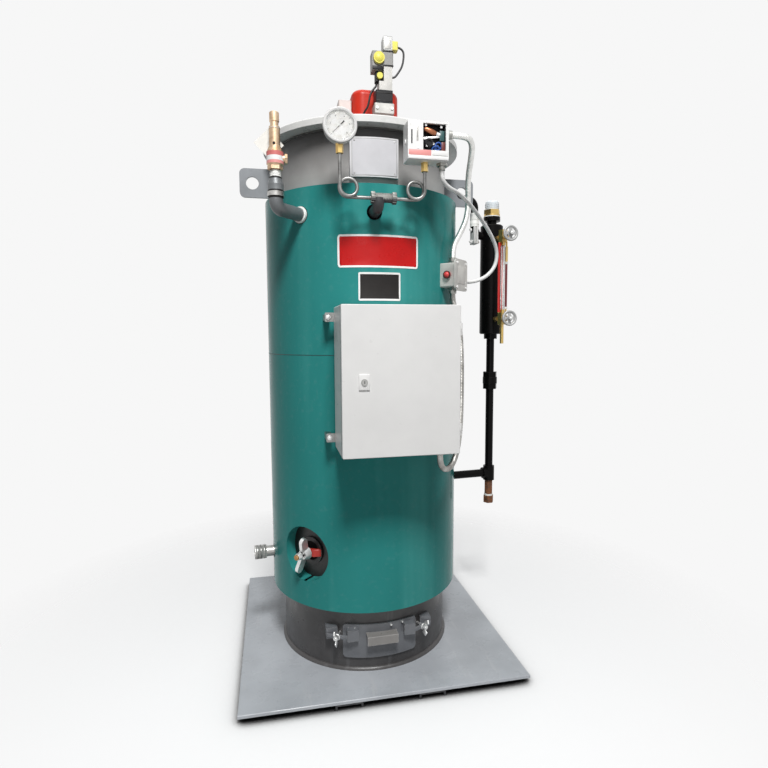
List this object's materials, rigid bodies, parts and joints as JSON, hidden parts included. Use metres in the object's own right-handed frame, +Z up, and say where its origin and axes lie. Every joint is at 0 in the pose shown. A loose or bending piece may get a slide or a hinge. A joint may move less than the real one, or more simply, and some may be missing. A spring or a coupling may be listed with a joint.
{
  "type": "vertical steam boiler",
  "caption": "Vertical steam boiler with an insulating jacket, water column, safety valve, gauge, top burner and hinged control cabinet on a base plate.",
  "frame": {"origin": "boiler axis at floor level, under the base plate", "axes": "+Z up along the boiler's axis, -Y the front with the control cabinet, +X the side with the water column"},
  "size_m": [1.1996, 1.2053, 2.517],
  "materials": {
    "plate_grey": "gloss grey enamel on a steel plate",
    "skid_grey": "dark grey enamel",
    "skirt_grey": "dark grey brushed-on enamel",
    "shell_grey": "grey primer paint",
    "jacket_green": "gloss teal-green enamel on sheet steel",
    "bright_steel": "bright steel",
    "yoke_red": "red enamel on a casting",
    "pipe_grey": "grey painted pipe fittings",
    "brass": "machined brass",
    "switch_white": "off-white enamel",
    "box_grey": "cast aluminium",
    "lamp_red": "red moulded plastic",
    "column_black": "gloss black paint",
    "probe_white": "white moulded plastic",
    "sight_glass": "clear gauge glass",
    "burner_red": "red moulded hood",
    "gas_metal": "die-cast aluminium",
    "coil_black": "black moulded plastic",
    "cap_yellow": "yellow moulded plastic",
    "lead_black": "black cable sheath",
    "conduit_metal": "corrugated metal conduit",
    "gland_dark": "dark cast glands",
    "cable_grey": "light grey cable sheath",
    "cabinet_white": "off-white textured powder coat"
  },
  "bodies": {
    "boiler": {"back_nozzles": "pipe_grey", "base_plate": "plate_grey", "blowdown_nipple": "pipe_grey", "burner_control_box": "switch_white", "burner_flange": "gas_metal", "burner_housing": "burner_red", "burner_leads": "lead_black", "cabinet_body": "cabinet_white", "cabinet_ears": "bright_steel", "cleanout_clamps": "skirt_grey", "cleanout_door": "skirt_grey", "cleanout_handle": "skirt_grey", "column_drain": "column_black", "column_lower_pipe": "column_black", "conduit_glands": "gland_dark", "equalizer_pipe": "column_black", "flex_conduits": "conduit_metal", "flue_collar": "bright_steel", "gas_caps": "cap_yellow", "gas_coils": "coil_black", "gas_pressure_switch": "gas_metal", "gas_valve": "gas_metal", "gauge_case": "bright_steel", "gauge_valves": "brass", "guard_rods": "brass", "handhole_cover": "shell_grey", "handhole_sleeve": "jacket_green", "handhole_wing_nut": "bright_steel", "handhole_yoke": "yoke_red", "jacket_ends": "jacket_green", "junction_box": "box_grey", "junction_cover": "box_grey", "junction_lamp": "lamp_red", "lifting_lugs": "shell_grey", "lower_jacket": "jacket_green", "mounting_plate": "bright_steel", "nameplate_bracket": "shell_grey", "probe_bushing": "brass", "probe_cap": "probe_white", "safety_bonnet": "brass", "safety_pipe": "pipe_grey", "safety_valve": "brass", "sight_glass": "sight_glass", "siphon_sockets": "brass", "siphon_tee": "pipe_grey", "siphon_tubes": "pipe_grey", "skid_channels": "skid_grey", "skirt": "skirt_grey", "switch_cable": "cable_grey", "switch_case": "switch_white", "switch_cover": "switch_white", "top_plate": "bright_steel", "upper_jacket": "jacket_green", "vessel_shell": "shell_grey", "water_column": "column_black"},
    "cabinet_door": {"cabinet_door": "cabinet_white", "cabinet_lock": "bright_steel"},
    "upper_handwheel": {"upper_handwheel": "bright_steel"},
    "lower_handwheel": {"lower_handwheel": "bright_steel"}
  },
  "joints": [
    {"name": "cabinet_door_hinge", "type": "hinge", "parent": "boiler", "child": "cabinet_door", "pos_m": [0.237, -0.6, 1.187], "axis": [0, 0, 1], "range_deg": [0, 110]},
    {"name": "upper_handwheel_turn", "type": "hinge", "parent": "boiler", "child": "upper_handwheel", "pos_m": [0.61565, -0.15014, 1.766], "axis": [0, -1, 0], "range_deg": [0, 720]},
    {"name": "lower_handwheel_turn", "type": "hinge", "parent": "boiler", "child": "lower_handwheel", "pos_m": [0.61565, -0.15014, 1.408], "axis": [0, -1, 0], "range_deg": [0, 720]}
  ]
}
